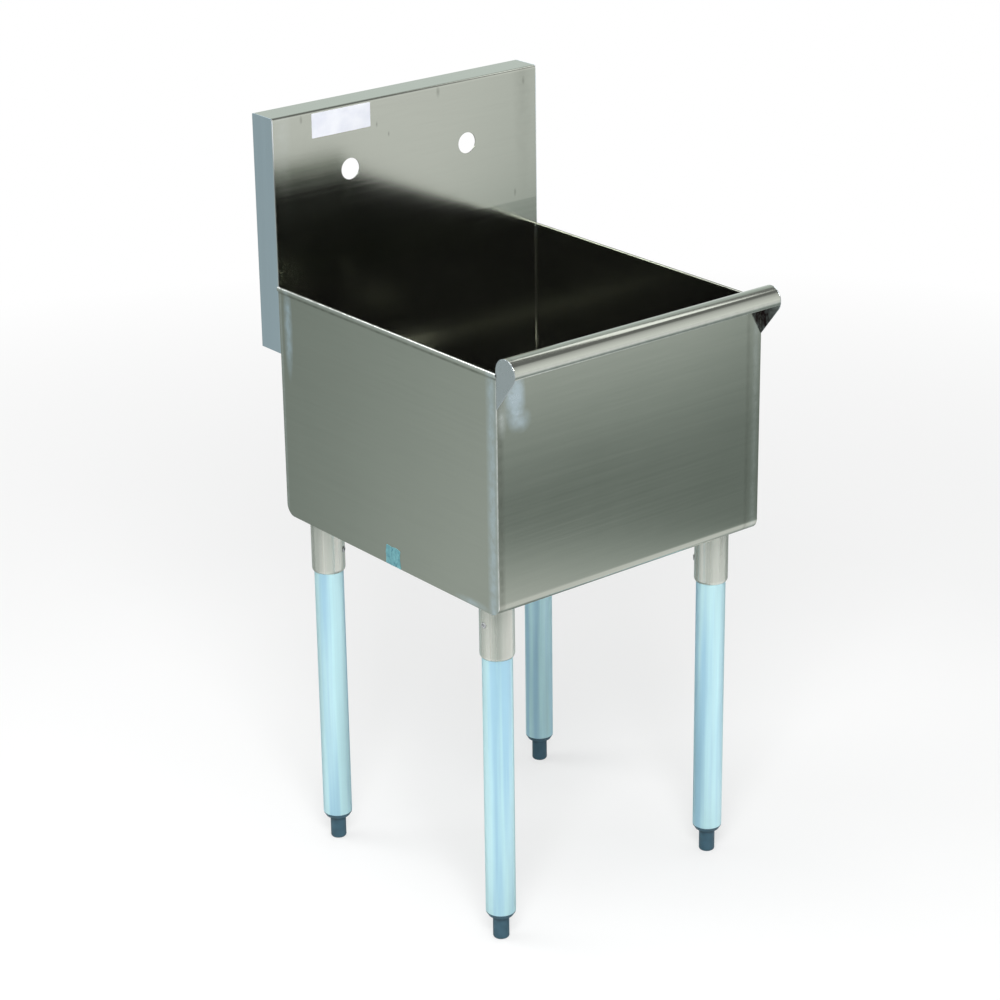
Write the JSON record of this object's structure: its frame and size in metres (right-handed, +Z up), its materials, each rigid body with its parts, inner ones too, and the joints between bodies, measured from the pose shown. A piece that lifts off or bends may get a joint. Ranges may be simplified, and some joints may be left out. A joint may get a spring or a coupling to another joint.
{
  "type": "utility laundry sink",
  "caption": "Free-standing folded steel laundry sink: deep square bowl, rolled front rim, raised backsplash with faucet holes, and tube legs with screw feet.",
  "frame": {"origin": "on the floor, under the middle of the sink's bounding box", "axes": "+X to the right as seen by someone at the sink, +Y towards the wall behind the backsplash, +Z up"},
  "size_m": [0.4618, 0.5543, 1.073],
  "materials": {
    "brushed_stainless": "brushed along the sheet, lightly streaked",
    "satin_stainless": "satin, drawn lengthwise",
    "galvanised_steel": "bluish galvanised with faint lengthwise streaks",
    "zinc_plate": "dull zinc plate",
    "slate_plastic": "moulded, slightly satin",
    "black_rubber": "matt",
    "fibre_washer": "pressed red fibre",
    "white_vinyl": "blank white vinyl sticker",
    "teal_film": "thin shipping film, slightly wrinkled"
  },
  "bodies": {
    "sink": {"bowl_and_backsplash_sheet": "brushed_stainless", "left_side_panel": "brushed_stainless", "left_backsplash_end_cap": "brushed_stainless", "left_roll_end_cap": "brushed_stainless", "right_side_panel": "brushed_stainless", "right_backsplash_end_cap": "brushed_stainless", "right_roll_end_cap": "brushed_stainless", "blank_sticker": "white_vinyl", "shipping_film_scrap": "teal_film", "front_left_leg_plate": "satin_stainless", "front_left_leg_socket": "satin_stainless", "front_left_socket_screw": "zinc_plate", "front_left_leg_tube": "galvanised_steel", "front_left_foot_insert": "slate_plastic", "front_right_leg_plate": "satin_stainless", "front_right_leg_socket": "satin_stainless", "front_right_socket_screw": "zinc_plate", "front_right_leg_tube": "galvanised_steel", "front_right_foot_insert": "slate_plastic", "back_left_leg_plate": "satin_stainless", "back_left_leg_socket": "satin_stainless", "back_left_socket_screw": "zinc_plate", "back_left_leg_tube": "galvanised_steel", "back_left_foot_insert": "slate_plastic", "back_right_leg_plate": "satin_stainless", "back_right_leg_socket": "satin_stainless", "back_right_socket_screw": "zinc_plate", "back_right_leg_tube": "galvanised_steel", "back_right_foot_insert": "slate_plastic", "strainer_body": "satin_stainless", "strainer_gasket": "black_rubber", "strainer_friction_washer": "fibre_washer", "strainer_locknut": "zinc_plate"},
    "front_left_foot": {"front_left_bullet_foot": "slate_plastic"},
    "front_right_foot": {"front_right_bullet_foot": "slate_plastic"},
    "back_left_foot": {"back_left_bullet_foot": "slate_plastic"},
    "back_right_foot": {"back_right_bullet_foot": "slate_plastic"},
    "crumb_basket": {"basket_cup": "satin_stainless", "basket_post": "satin_stainless", "basket_stopper": "black_rubber"}
  },
  "joints": [
    {"name": "front_left_foot_screw", "type": "slide", "parent": "sink", "child": "front_left_foot", "axis": [0, 0, -1], "range_m": [0, 0.0254]},
    {"name": "front_right_foot_screw", "type": "slide", "parent": "sink", "child": "front_right_foot", "axis": [0, 0, -1], "range_m": [0, 0.0254]},
    {"name": "back_left_foot_screw", "type": "slide", "parent": "sink", "child": "back_left_foot", "axis": [0, 0, -1], "range_m": [0, 0.0254]},
    {"name": "back_right_foot_screw", "type": "slide", "parent": "sink", "child": "back_right_foot", "axis": [0, 0, -1], "range_m": [0, 0.0254]},
    {"name": "crumb_basket_lift", "type": "slide", "parent": "sink", "child": "crumb_basket", "axis": [0, 0, 1], "range_m": [0, 0.45]}
  ]
}
